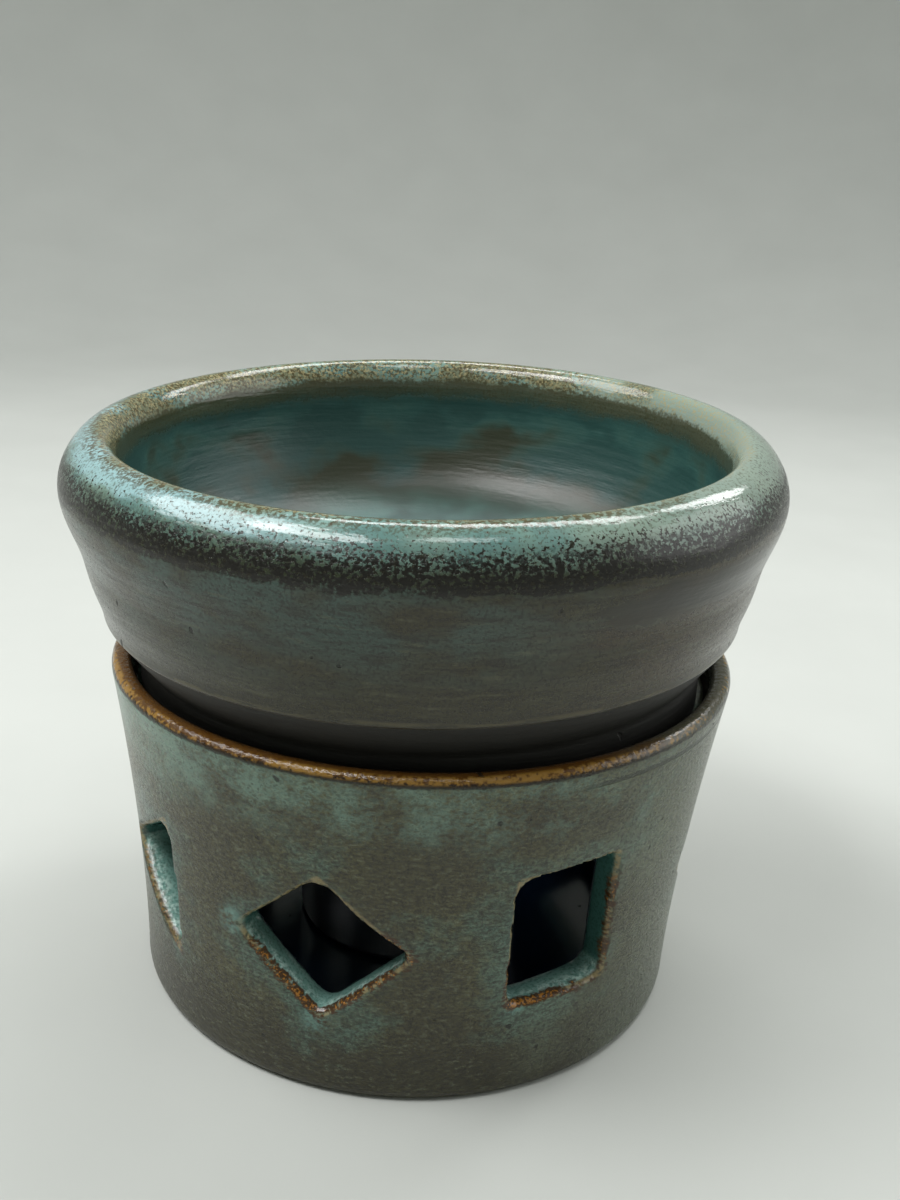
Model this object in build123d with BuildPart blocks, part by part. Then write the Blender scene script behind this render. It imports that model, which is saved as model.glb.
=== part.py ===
# Essential oil burner in two stoneware pots: a thick round bowl for water and oil, and the pierced
# stand that carries it over a tealight. Millimetres, +Z up, the origin at the centre of the stand's
# underside, the front towards -Y. Turns about the Z axis are counted from the front to the right.
import os
from math import cos, radians, sin, tan

from build123d import *

os.makedirs("parts", exist_ok=True)

# The stand: a cup that flares to its lip. Its outer and inner walls are drawn through the levels
# that the shares give of their height
stand_height = 55.0
stand_foot_radius = 44.5
stand_flare = 5.3
stand_flare_power = 1.7
stand_wall = 5.5
stand_floor = 5.5
stand_foot_rounding = 1.6
stand_cove = 3.5
lip_thickness = 3.4
lip_rounding = 1.5
outer_wall_shares = (0, 0.2, 0.45, 0.7, 0.9, 1)
inner_wall_shares = (1, 0.65, 0.3, 0)

# The gallery inside the mouth, which the bowl's foot stands on
gallery_drop = 5.0
gallery_reach = 6.2
gallery_thickness = 3.4
gallery_slope = 2.6
gallery_rounding = 0.8

# The windows cut through the wall, in turn round the stand. A width is a share of the foot's radius,
# and a height and the level of its middle are shares of the clear wall from the floor to the gallery
window_kinds = ("triangle", "diamond", "rectangle")
window_turns = (-62.0, -15.6, 29.0, 78.5, 123.0, 166.0, 208.5, 253.5)
window_width_shares = {"triangle": 0.418, "diamond": 0.580, "rectangle": 0.360}
window_height_shares = {"triangle": 0.587, "diamond": 0.613, "rectangle": 0.566}
window_level_shares = {"triangle": 0.506, "diamond": 0.517, "rectangle": 0.561}
window_corner = 1.6
window_soft_edge = 0.7
diamond_bow = 0.6
diamond_top_corner = 2.8
rectangle_top_corner = 3.0
rectangle_lean = 3.0

# The bowl: its wall swells to a heavy shoulder and rolls in over the lip
bowl_height = 41.0
bowl_radius = 55.0
bowl_floor = 7.0
bowl_edge_level = 14.0
bowl_edge_rounding = 0.7
foot_room = 1.7
foot_width = 3.9
foot_recess = 5.4
foot_rounding = 0.8
foot_neck = 7.2
# The body leans over its foot by so many degrees, towards this turn round the stand
bowl_lean = 2.15
bowl_lean_turn = -48.0

# Shares of the bowl's radius: its sharp lower edge, its crest and the flat of the floor inside
bowl_edge_share = 0.907
bowl_crest_share = 0.892
bowl_flat_share = 0.36
# The wall outside, as shares of the bowl's radius and of the rise from the lower edge to the crest
bowl_outside_shares = ((0.936, 0.215), (0.957, 0.408), (0.986, 0.578), (1.0, 0.722), (0.983, 0.856))
# The wall inside, as shares of the bowl's radius and of the depth from the floor to the crest
bowl_inside_shares = ((0.846, 0.907), (0.837, 0.721), (0.803, 0.441), (0.729, 0.230), (0.600, 0.091))
# The way the wall leaves its lower edge: nearly upright, out by this share of its rise
bowl_edge_slope_share = 0.1

# The tealight: a foil cup, the wax in it, and the wick in its tinned sustainer
cup_radius = 18.6
cup_height = 16.0
cup_flare = 0.5
cup_bead_radius = 0.5
cup_corner = 1.2
foil = 0.3
wax_drop = 3.1
wax_fit = 0.15
wax_meniscus = 0.6
sustainer_radius = 7.0
sustainer_thickness = 0.3
sustainer_fit = 0.1
tube_radius = 1.5
tube_height = 3.4
wick_radius = 0.75
wick_rise = 2.6
wick_tip = 3.6
wick_bend = 1.2

# Room that every cut runs past what it cuts
overrun = 2.0

seat_level = stand_height - gallery_drop
lip_radius = stand_foot_radius + stand_flare
mouth_radius = lip_radius - lip_thickness
gallery_radius = mouth_radius - gallery_reach
gallery_under = seat_level - gallery_thickness
gallery_root = gallery_under - gallery_slope
window_band = gallery_root - stand_floor
foot_radius = mouth_radius - foot_room
foot_inner_radius = foot_radius - foot_width


def wall_radius(level):
    # The stand's outer radius at a height, a flare that grows towards the lip
    return stand_foot_radius + stand_flare * (level / stand_height) ** stand_flare_power


def inner_radius(level):
    return wall_radius(level) - stand_wall


def round_corner(section, point, radius):
    # Rounds the corner of a section that lies at a point
    fillet(section.vertices().sort_by_distance(point)[0], radius=radius)


def window_corners(kind):
    # A window's corners round its middle, as it is seen from outside. The second is the softest
    right = window_width_shares[kind] * stand_foot_radius / 2
    top = window_height_shares[kind] * window_band / 2
    if kind == "triangle":
        return [(right, top), (-right, 0), (right, -top)]
    if kind == "diamond":
        return [(right, 0), (0, top), (-right, 0), (0, -top)]
    return [(right, top), (-right, top), (-right, -top), (right, -top)]


soft_corners = {
    "triangle": window_corner,
    "diamond": diamond_top_corner,
    "rectangle": rectangle_top_corner,
}

# The stand is turned in one piece: outer flare, lip, gallery, inner wall and floor
with BuildPart() as stand:
    with BuildSketch(Plane.XZ) as stand_section:
        with BuildLine():
            outer_levels = [share * stand_height for share in outer_wall_shares]
            Spline(*[(wall_radius(level), level) for level in outer_levels])
            Polyline(
                (lip_radius, stand_height),
                (mouth_radius, stand_height),
                (mouth_radius, seat_level),
                (gallery_radius, seat_level),
                (gallery_radius, gallery_under),
                (inner_radius(gallery_root), gallery_root),
            )
            inner_levels = [stand_floor + share * window_band for share in inner_wall_shares]
            Spline(*[(inner_radius(level), level) for level in inner_levels])
            Polyline(
                (inner_radius(stand_floor), stand_floor),
                (0, stand_floor),
                (0, 0),
                (stand_foot_radius, 0),
            )
        make_face()
        round_corner(stand_section, (lip_radius, stand_height), lip_rounding)
        round_corner(stand_section, (mouth_radius, stand_height), lip_rounding)
        round_corner(stand_section, (gallery_radius, seat_level), gallery_rounding)
        round_corner(stand_section, (stand_foot_radius, 0), stand_foot_rounding)
        round_corner(stand_section, (inner_radius(stand_floor), stand_floor), stand_cove)
    revolve(axis=Axis.Z)
    # Each window is cut straight out through the wall, and its rims inside and outside are softened
    for index, degrees in enumerate(window_turns):
        turn = radians(degrees)
        kind = window_kinds[index % len(window_kinds)]
        level = stand_floor + window_level_shares[kind] * window_band
        lean = radians(rectangle_lean) if kind == "rectangle" else 0
        outward = (sin(turn), -cos(turn), 0)
        across = (cos(turn) * cos(lean), sin(turn) * cos(lean), sin(lean))
        corners = window_corners(kind)
        with BuildSketch(Plane(origin=(0, 0, level), x_dir=across, z_dir=outward)) as window:
            with BuildLine():
                Polyline(*corners[1:], corners[0])
                if kind == "diamond":
                    SagittaArc(corners[0], corners[1], diamond_bow)
                else:
                    Line(corners[0], corners[1])
            make_face()
            for place, corner in enumerate(corners):
                soft_radius = soft_corners[kind] if place == 1 else window_corner
                round_corner(window, corner, soft_radius)
        extrude(amount=lip_radius + overrun, mode=Mode.SUBTRACT)
        rims = stand.edges(Select.LAST).filter_by(GeomType.LINE, reverse=True)
        fillet(rims, radius=window_soft_edge)
stand.part.label = "stand"
export_step(stand.part, "parts/stand.step")

# The bowl: its body is one turned outline, over the shoulder and the lip to the floor inside. It was
# set on its foot a little out of true, so its axis leans from the middle of its underside, and its
# heights are counted along that axis. The foot is turned true afterwards and stands level
under_level = seat_level + foot_neck
edge_height = bowl_edge_level - foot_neck
crest_height = bowl_height - foot_neck
floor_height = foot_recess + bowl_floor - foot_neck
edge = (bowl_edge_share * bowl_radius, edge_height)
crest = (bowl_crest_share * bowl_radius, crest_height)
rise = crest_height - edge_height
depth = crest_height - floor_height
outside = [(across * bowl_radius, edge_height + up * rise) for across, up in bowl_outside_shares]
inside = [(across * bowl_radius, floor_height + up * depth) for across, up in bowl_inside_shares]
flat_radius = bowl_flat_share * bowl_radius
upright = (bowl_edge_slope_share, 1)
inward = (-1, 0)
tip = radians(bowl_lean)
toward = radians(bowl_lean_turn)
facing = (sin(toward) * cos(tip), -cos(toward) * cos(tip), -sin(tip))
body_plane = Plane(origin=(0, 0, under_level), x_dir=(cos(toward), sin(toward), 0), z_dir=facing)
body_axis = Axis((0, 0, under_level), body_plane.y_dir)
# The foot reaches up into the body, halfway from its raised underside to its lowered floor
under_high = under_level + foot_radius * tan(tip)
floor_low = under_level + floor_height - flat_radius * tan(tip)
with BuildPart() as bowl:
    with BuildSketch(body_plane) as body_section:
        with BuildLine():
            Spline(edge, *outside, crest, tangents=(upright, inward))
            Spline(crest, *inside, (flat_radius, floor_height), tangents=(inward, inward))
            Polyline(
                (flat_radius, floor_height),
                (0, floor_height),
                (0, 0),
                (foot_radius, 0),
                edge,
            )
        make_face()
        round_corner(body_section, edge, bowl_edge_rounding)
    revolve(axis=body_axis)
    with BuildSketch(Plane.XY.offset(seat_level)):
        Circle(foot_radius)
    extrude(amount=(under_high + floor_low) / 2 - seat_level)
    with BuildSketch(Plane.XY.offset(seat_level)):
        Circle(foot_inner_radius)
    extrude(amount=foot_recess, mode=Mode.SUBTRACT)
    fillet(bowl.edges().group_by(Axis.Z)[0], radius=foot_rounding)
bowl.part.label = "bowl"
export_step(bowl.part, "parts/bowl.step")

# The tealight's cup, pressed from foil, with a rolled edge
cup_mouth_radius = cup_radius + cup_flare
cup_floor = stand_floor + foil
cup_top = stand_floor + cup_height
bead_level = cup_top - cup_bead_radius
with BuildPart() as tealight_cup:
    with BuildSketch(Plane.XZ) as cup_section:
        with BuildLine():
            Polyline(
                (0, stand_floor),
                (cup_radius, stand_floor),
                (cup_mouth_radius, bead_level),
                (cup_mouth_radius - foil, bead_level),
                (cup_radius - foil, cup_floor),
                (0, cup_floor),
                close=True,
            )
        make_face()
        round_corner(cup_section, (cup_radius, stand_floor), cup_corner)
        round_corner(cup_section, (cup_radius - foil, cup_floor), cup_corner - foil)
        with Locations((cup_mouth_radius, bead_level)):
            Circle(cup_bead_radius)
    revolve(axis=Axis.Z)
tealight_cup.part.label = "tealight_cup"
export_step(tealight_cup.part, "parts/tealight_cup.step")

# The sustainer: a thin disc that lies on the cup's floor, with a tube that grips the wick
wick_foot = cup_floor + sustainer_thickness
with BuildPart() as wick_sustainer:
    with BuildSketch(Plane.XY.offset(cup_floor)):
        Circle(sustainer_radius)
    extrude(amount=sustainer_thickness)
    with BuildSketch(Plane.XY.offset(cup_floor)):
        Circle(tube_radius)
    extrude(amount=tube_height)
    fillet(wick_sustainer.edges().sort_by(Axis.Z)[-1], radius=sustainer_thickness)
    with BuildSketch(Plane.XY.offset(wick_foot)):
        Circle(wick_radius + sustainer_fit)
    extrude(amount=tube_height, mode=Mode.SUBTRACT)
wick_sustainer.part.label = "wick_sustainer"
export_step(wick_sustainer.part, "parts/wick_sustainer.step")

# The wax, poured round the sustainer and the wick
wax_top = cup_top - wax_drop
wax_depth = wax_top - cup_floor
wax_radius = cup_radius - foil - wax_fit
wax_top_radius = wax_radius + cup_flare * wax_depth / cup_height
with BuildPart() as tealight_wax:
    with BuildSketch(Plane.XZ) as wax_section:
        with BuildLine():
            Polyline(
                (0, cup_floor),
                (wax_radius, cup_floor),
                (wax_top_radius, wax_top),
                (0, wax_top),
                close=True,
            )
        make_face()
        round_corner(wax_section, (wax_radius, cup_floor), cup_corner)
        round_corner(wax_section, (wax_top_radius, wax_top), wax_meniscus)
    revolve(axis=Axis.Z)
    hollows = (
        (sustainer_radius, sustainer_thickness + sustainer_fit),
        (tube_radius, tube_height + sustainer_fit),
        (wick_radius, wax_depth + overrun),
    )
    for radius, reach in hollows:
        with BuildSketch(Plane.XY.offset(cup_floor)):
            Circle(radius + sustainer_fit)
        extrude(amount=reach, mode=Mode.SUBTRACT)
tealight_wax.part.label = "tealight_wax"
export_step(tealight_wax.part, "parts/tealight_wax.step")

# The wick stands in the tube and out of the wax, and leans over a little at its tip
bend_level = wax_top + wick_rise
with BuildPart() as wick:
    with BuildLine() as wick_path:
        Line((0, 0, wick_foot), (0, 0, bend_level))
        Spline((0, 0, bend_level), (wick_bend, 0, bend_level + wick_tip), tangents=((0, 0, 1), (1, 0, 1)))
    with BuildSketch(Plane.XY.offset(wick_foot)):
        Circle(wick_radius)
    sweep(path=wick_path.line)
wick.part.label = "wick"
export_step(wick.part, "parts/wick.step")

print("lip", lip_radius, "mouth", mouth_radius, "gallery", gallery_radius, "bowl foot", foot_radius)
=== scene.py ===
import math

import bmesh
import bpy
import numpy as np
from mathutils import Matrix, Vector


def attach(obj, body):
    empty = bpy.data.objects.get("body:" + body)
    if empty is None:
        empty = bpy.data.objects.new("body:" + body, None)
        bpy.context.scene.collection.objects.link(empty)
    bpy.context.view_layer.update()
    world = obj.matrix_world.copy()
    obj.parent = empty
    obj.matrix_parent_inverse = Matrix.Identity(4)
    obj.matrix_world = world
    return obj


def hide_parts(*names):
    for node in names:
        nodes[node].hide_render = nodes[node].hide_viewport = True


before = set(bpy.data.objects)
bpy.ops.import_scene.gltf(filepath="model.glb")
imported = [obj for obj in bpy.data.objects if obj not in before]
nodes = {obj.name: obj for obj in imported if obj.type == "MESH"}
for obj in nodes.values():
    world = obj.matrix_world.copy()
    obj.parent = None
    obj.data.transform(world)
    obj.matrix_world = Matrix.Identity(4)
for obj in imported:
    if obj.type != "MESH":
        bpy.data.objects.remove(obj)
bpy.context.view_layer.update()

mm = 0.001  # sizes below are in millimetres, and meshes in metres
scene = bpy.context.scene


def linear(hexColour):
    # an sRGB hex colour as the linear values that a shader takes
    parts = [int(hexColour[i:i + 2], 16) / 255 for i in (1, 3, 5)]
    return [p / 12.92 if p <= 0.04045 else ((p + 0.055) / 1.055) ** 2.4 for p in parts] + [1.0]


def addNode(tree, kind, settings=None, inputs=None):
    # adds a node, sets its settings, and links or sets its inputs
    node = tree.nodes.new(kind)
    for name, value in (settings or {}).items():
        setattr(node, name, value)
    for name, value in (inputs or {}).items():
        if isinstance(value, bpy.types.NodeSocket):
            tree.links.new(value, node.inputs[name])
        else:
            node.inputs[name].default_value = value
    return node


def smoothStep(low, high, values):
    share = np.clip((values - low) / (high - low), 0, 1)
    return share * share * (3 - 2 * share)


# outlines, in (radius, height)

def splineThrough(points, startWay, endWay, spacing):
    # a smooth curve through points that leaves and arrives in the given ways
    points = np.array(points, float)
    spans = np.linalg.norm(np.diff(points, axis=0), axis=1)
    count = len(points)
    matrix, right = np.eye(count), np.zeros((count, 2))
    right[0] = np.array(startWay) / np.linalg.norm(startWay)
    right[-1] = np.array(endWay) / np.linalg.norm(endWay)
    for i in range(1, count - 1):
        before, after = spans[i - 1], spans[i]
        matrix[i, i - 1:i + 2] = 1 / before, 2 / before + 2 / after, 1 / after
        right[i] = 3 * ((points[i] - points[i - 1]) / before ** 2
                        + (points[i + 1] - points[i]) / after ** 2)
    ways = np.linalg.solve(matrix, right)
    curve = []
    for i, span in enumerate(spans):
        for t in np.linspace(0, 1, max(2, round(span / spacing)), endpoint=False):
            a, b = points[i], points[i + 1]
            curve.append((2 * t ** 3 - 3 * t ** 2 + 1) * a + (t ** 3 - 2 * t ** 2 + t) * span * ways[i]
                         + (3 * t ** 2 - 2 * t ** 3) * b + (t ** 3 - t ** 2) * span * ways[i + 1])
    return [tuple(p) for p in curve] + [tuple(points[-1])]


def straight(start, end, spacing):
    steps = max(1, round(math.dist(start, end) / spacing))
    start, end = np.array(start), np.array(end)
    return [tuple(start + (end - start) * i / steps) for i in range(steps + 1)]


def roundCorner(outline, corner, radius, steps=6):
    # swaps a corner of an outline for an arc
    outline = np.array(outline)
    place = np.linalg.norm(outline - np.array(corner), axis=1).argmin()
    point = outline[place]
    back = outline[place - 2] - point
    ahead = outline[place + 2] - point
    back, ahead = back / np.linalg.norm(back), ahead / np.linalg.norm(ahead)
    half = math.acos(float(np.clip(back @ ahead, -1, 1))) / 2
    reach = radius / math.tan(half)
    centre = point + (back + ahead) / np.linalg.norm(back + ahead) * radius / math.sin(half)
    start, end = point + back * reach - centre, point + ahead * reach - centre
    sweep = math.atan2(start[0] * end[1] - start[1] * end[0], start @ end)
    arc = []
    for i in range(steps + 1):
        turn = sweep * i / steps
        arc.append(centre + (start[0] * math.cos(turn) - start[1] * math.sin(turn),
                             start[0] * math.sin(turn) + start[1] * math.cos(turn)))
    cleared = reach * 1.15  # the outline's own points give way to the arc this far from the corner
    far = np.linalg.norm(outline - point, axis=1) > cleared
    before = [p for p, keep in zip(outline[:place], far[:place]) if keep]
    after = [p for p, keep in zip(outline[place + 1:], far[place + 1:]) if keep]
    return [tuple(p) for p in before + arc + after]


def joined(*pieces):
    # one outline from pieces that share their ends
    outline = list(pieces[0])
    for piece in pieces[1:]:
        outline += list(piece)[1:]
    return outline


placesAtOnce = 4000  # how many places are measured at a time, to spare memory


def nearestOn(outline, places):
    # for each (radius, height): how far the outline is, the nearest point on it, and the way along to it
    outline = np.array(outline)
    start, step = outline[:-1], np.diff(outline, axis=0)
    length = np.linalg.norm(step, axis=1)
    along = np.concatenate([[0], np.cumsum(length)])[:-1]
    distance, nearest, way = np.empty(len(places)), np.empty((len(places), 2)), np.empty(len(places))
    for first in range(0, len(places), placesAtOnce):
        part = slice(first, first + placesAtOnce)
        offset = places[part][:, None, :] - start[None]
        share = np.clip((offset * step).sum(-1) / (length ** 2 + 1e-12), 0, 1)
        gap = np.linalg.norm(offset - share[..., None] * step, axis=-1)
        best = gap.argmin(1)
        row = np.arange(len(best))
        distance[part] = gap[row, best]
        nearest[part] = start[best] + share[row, best][:, None] * step[best]
        way[part] = along[best] + share[row, best] * length[best]
    return distance, nearest, way


# meshes

def readPoints(mesh):
    points = np.empty(len(mesh.vertices) * 3)
    mesh.vertices.foreach_get("co", points)
    return points.reshape(-1, 3) / mm


def writePoints(mesh, points):
    mesh.vertices.foreach_set("co", (points * mm).astype(np.float32).ravel())
    mesh.update()


def neighbours(mesh):
    # the two ends of each edge, and how many edges meet at each point
    ends = np.empty(len(mesh.edges) * 2, int)
    mesh.edges.foreach_get("vertices", ends)
    ends = ends.reshape(-1, 2)
    return ends, np.bincount(ends.ravel(), minlength=len(mesh.vertices))


def averaged(values, ends, counts, rounds, share=0.5):
    # each value drawn towards the mean of its neighbours, a number of times
    values = values.copy()
    columns = values.reshape(len(counts), -1)
    for _ in range(rounds):
        for column in range(columns.shape[1]):
            line = columns[:, column]
            total = np.bincount(ends[:, 0], line[ends[:, 1]], len(counts))
            total += np.bincount(ends[:, 1], line[ends[:, 0]], len(counts))
            columns[:, column] = line + share * (total / counts - line)
    return values


def giveAttribute(mesh, name, values):
    mesh.attributes.new(name, "FLOAT", "POINT").data.foreach_set("value", values.astype(np.float32))


def addObject(name, mesh):
    piece = bpy.data.objects.new(name, mesh)
    scene.collection.objects.link(piece)
    return piece


def pointOutwards(mesh):
    shape = bmesh.new()
    shape.from_mesh(mesh)
    bmesh.ops.recalc_face_normals(shape, faces=shape.faces)
    shape.to_mesh(mesh)
    shape.free()
    mesh.shade_smooth()


def plainCopy(piece):
    # the evaluated object as a mesh with no modifier
    graph = bpy.context.evaluated_depsgraph_get()
    mesh = bpy.data.meshes.new_from_object(piece.evaluated_get(graph))
    piece.modifiers.clear()
    piece.data = mesh


def nameSockets(tree, inputs, output):
    # a Geometry Nodes tree's named inputs, and the mesh that it gives
    for title, kind in inputs.items():
        tree.interface.new_socket(title, in_out="INPUT", socket_type="NodeSocket" + kind)
    tree.interface.new_socket(output, in_out="OUTPUT", socket_type="NodeSocketGeometry")


def growWith(piece, group, values):
    # gives a piece the mesh that a Geometry Nodes tree makes from named inputs
    modifier = piece.modifiers.new("grown", "NODES")
    modifier.node_group = group
    for socket in group.interface.items_tree:
        if socket.item_type == "SOCKET" and socket.in_out == "INPUT":
            modifier[socket.identifier] = values[socket.name]
    plainCopy(piece)


def turningTree():
    # turns an outline curve about the upright axis, as a potter's wheel does
    tree = bpy.data.node_groups.new("turnedOnWheel", "GeometryNodeTree")
    nameSockets(tree, {
        "Outline": "Object", "Turns": "Int", "Rings": "Int", "Weld": "Float", "Glaze": "Material"}, "Body")
    given = addNode(tree, "NodeGroupInput").outputs
    outline = addNode(tree, "GeometryNodeObjectInfo", inputs={
        "Object": given["Outline"]}).outputs["Geometry"]
    columns = addNode(tree, "ShaderNodeMath", {"operation": "ADD"}, {0: given["Turns"], 1: 1.0}).outputs[0]
    grid = addNode(tree, "GeometryNodeMeshGrid", inputs={
        "Vertices X": columns, "Vertices Y": given["Rings"]}).outputs["Mesh"]
    index = addNode(tree, "GeometryNodeInputIndex").outputs[0]
    ring = addNode(tree, "ShaderNodeMath", {"operation": "MODULO"}, {
        0: index, 1: given["Rings"]}).outputs[0]
    share = addNode(tree, "ShaderNodeMath", {"operation": "DIVIDE"}, {
        0: index, 1: given["Rings"]}).outputs[0]
    turn = addNode(tree, "ShaderNodeMath", {"operation": "FLOOR"}, {0: share}).outputs[0]
    part = addNode(tree, "ShaderNodeMath", {"operation": "DIVIDE"}, {0: turn, 1: given["Turns"]}).outputs[0]
    angle = addNode(tree, "ShaderNodeMath", {"operation": "MULTIPLY"}, {0: part, 1: math.tau}).outputs[0]
    place = addNode(tree, "GeometryNodeInputPosition").outputs[0]
    sample = addNode(tree, "GeometryNodeSampleIndex", {"data_type": "FLOAT_VECTOR"}, {
        "Geometry": outline, "Value": place, "Index": ring}).outputs[0]
    section = addNode(tree, "ShaderNodeSeparateXYZ", inputs={0: sample}).outputs
    sine = addNode(tree, "ShaderNodeMath", {"operation": "SINE"}, {0: angle}).outputs[0]
    cosine = addNode(tree, "ShaderNodeMath", {"operation": "COSINE"}, {0: angle}).outputs[0]
    sideways = addNode(tree, "ShaderNodeMath", {"operation": "MULTIPLY"}, {
        0: section["X"], 1: sine}).outputs[0]
    forwards = addNode(tree, "ShaderNodeMath", {"operation": "MULTIPLY"}, {
        0: section["X"], 1: cosine}).outputs[0]
    turned = addNode(tree, "ShaderNodeCombineXYZ", inputs={
        "X": sideways, "Y": forwards, "Z": section["Z"]}).outputs[0]
    moved = addNode(tree, "GeometryNodeSetPosition", inputs={
        "Geometry": grid, "Position": turned}).outputs[0]
    welded = addNode(tree, "GeometryNodeMergeByDistance", inputs={
        "Geometry": moved, "Distance": given["Weld"]}).outputs[0]
    real = addNode(tree, "GeometryNodeRealizeInstances", inputs={"Geometry": welded}).outputs[0]
    glazed = addNode(tree, "GeometryNodeSetMaterial", inputs={
        "Geometry": real, "Material": given["Glaze"]}).outputs[0]
    addNode(tree, "NodeGroupOutput", inputs={"Body": glazed})
    return tree


turningGroup = turningTree()
weldWithin = 0.004  # mm, closes the seam and the poles of what is turned


def turnedPiece(name, outline, turns, material):
    # an outline in millimetres turned into a closed body
    curve = bpy.data.curves.new(name + "Outline", "CURVE")
    curve.dimensions = "3D"
    spline = curve.splines.new("POLY")
    spline.points.add(len(outline) - 1)
    for point, (radius, height) in zip(spline.points, outline):
        point.co = (radius * mm, 0, height * mm, 1)
    drawn = addObject(name + "Outline", curve)
    piece = addObject(name, bpy.data.meshes.new(name))
    growWith(piece, turningGroup, {
        "Outline": drawn, "Turns": turns, "Rings": len(outline), "Weld": weldWithin * mm,
        "Glaze": material})
    bpy.data.objects.remove(drawn)
    pointOutwards(piece.data)
    return piece


def paintGlaze(name, recipe):
    # a fired glaze, built up from patterns, zones and coats that a recipe names
    material = bpy.data.materials.new(name)
    material.use_nodes = True
    tree = material.node_tree
    tree.nodes.clear()
    values = {}
    for title in recipe["attributes"]:
        values[title] = addNode(tree, "ShaderNodeAttribute", {"attribute_name": title}).outputs["Fac"]
    place = addNode(tree, "ShaderNodeTexCoord").outputs["Object"]
    axes = addNode(tree, "ShaderNodeSeparateXYZ", inputs={0: place}).outputs
    values["atX"] = addNode(tree, "ShaderNodeMath", {"operation": "DIVIDE"}, {
        0: axes["X"], 1: mm}).outputs[0]
    for title, (size, detail, stretch, shift) in recipe["patterns"].items():
        mapped = addNode(tree, "ShaderNodeMapping", inputs={
            "Vector": place, "Location": [shift * mm] * 3, "Scale": stretch}).outputs[0]
        values[title] = addNode(tree, "ShaderNodeTexNoise", inputs={
            "Vector": mapped, "Scale": 1 / (size * mm), "Detail": detail,
            "Roughness": recipe["patternRoughness"]}).outputs["Fac"]
    for title, shares in recipe["blends"].items():
        total = None
        for source, weight in shares:
            terms = {0: values[source], 1: weight, 2: 0.0 if total is None else total}
            total = addNode(tree, "ShaderNodeMath", {"operation": "MULTIPLY_ADD"}, terms).outputs[0]
        values[title] = total
    for title, steps in recipe["zones"].items():
        product = None
        for source, low, high in steps:
            step = addNode(tree, "ShaderNodeMapRange", {"interpolation_type": "SMOOTHSTEP"}, {
                "Value": values[source], "From Min": low, "From Max": high}).outputs[0]
            if product is not None:
                step = addNode(tree, "ShaderNodeMath", {"operation": "MULTIPLY"}, {
                    0: product, 1: step}).outputs[0]
            product = step
        values[title] = product
    colour, gloss = None, None
    for zone, hexColour, strength, roughness in recipe["coats"]:
        if colour is None:
            colour, gloss = linear(hexColour), roughness
            continue
        cover = addNode(tree, "ShaderNodeMath", {"operation": "MULTIPLY"}, {
            0: values[zone], 1: strength}).outputs[0]
        colour = addNode(tree, "ShaderNodeMix", {"data_type": "RGBA"}, {
            0: cover, 6: colour, 7: linear(hexColour)}).outputs[2]
        gloss = addNode(tree, "ShaderNodeMix", {"data_type": "FLOAT"}, {
            0: cover, 2: gloss, 3: roughness}).outputs[0]
    height = None
    for source, depth in recipe["relief"]:
        terms = {0: values[source], 1: depth, 2: 0.0 if height is None else height}
        height = addNode(tree, "ShaderNodeMath", {"operation": "MULTIPLY_ADD"}, terms).outputs[0]
    bump = addNode(tree, "ShaderNodeBump", inputs={
        "Height": height, "Distance": mm, "Strength": 1.0}).outputs[0]
    shader = addNode(tree, "ShaderNodeBsdfPrincipled", inputs={
        "Base Color": colour, "Roughness": gloss, "Normal": bump, "IOR": recipe["ior"]}).outputs[0]
    addNode(tree, "ShaderNodeOutputMaterial", inputs={"Surface": shader})
    return material


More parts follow.
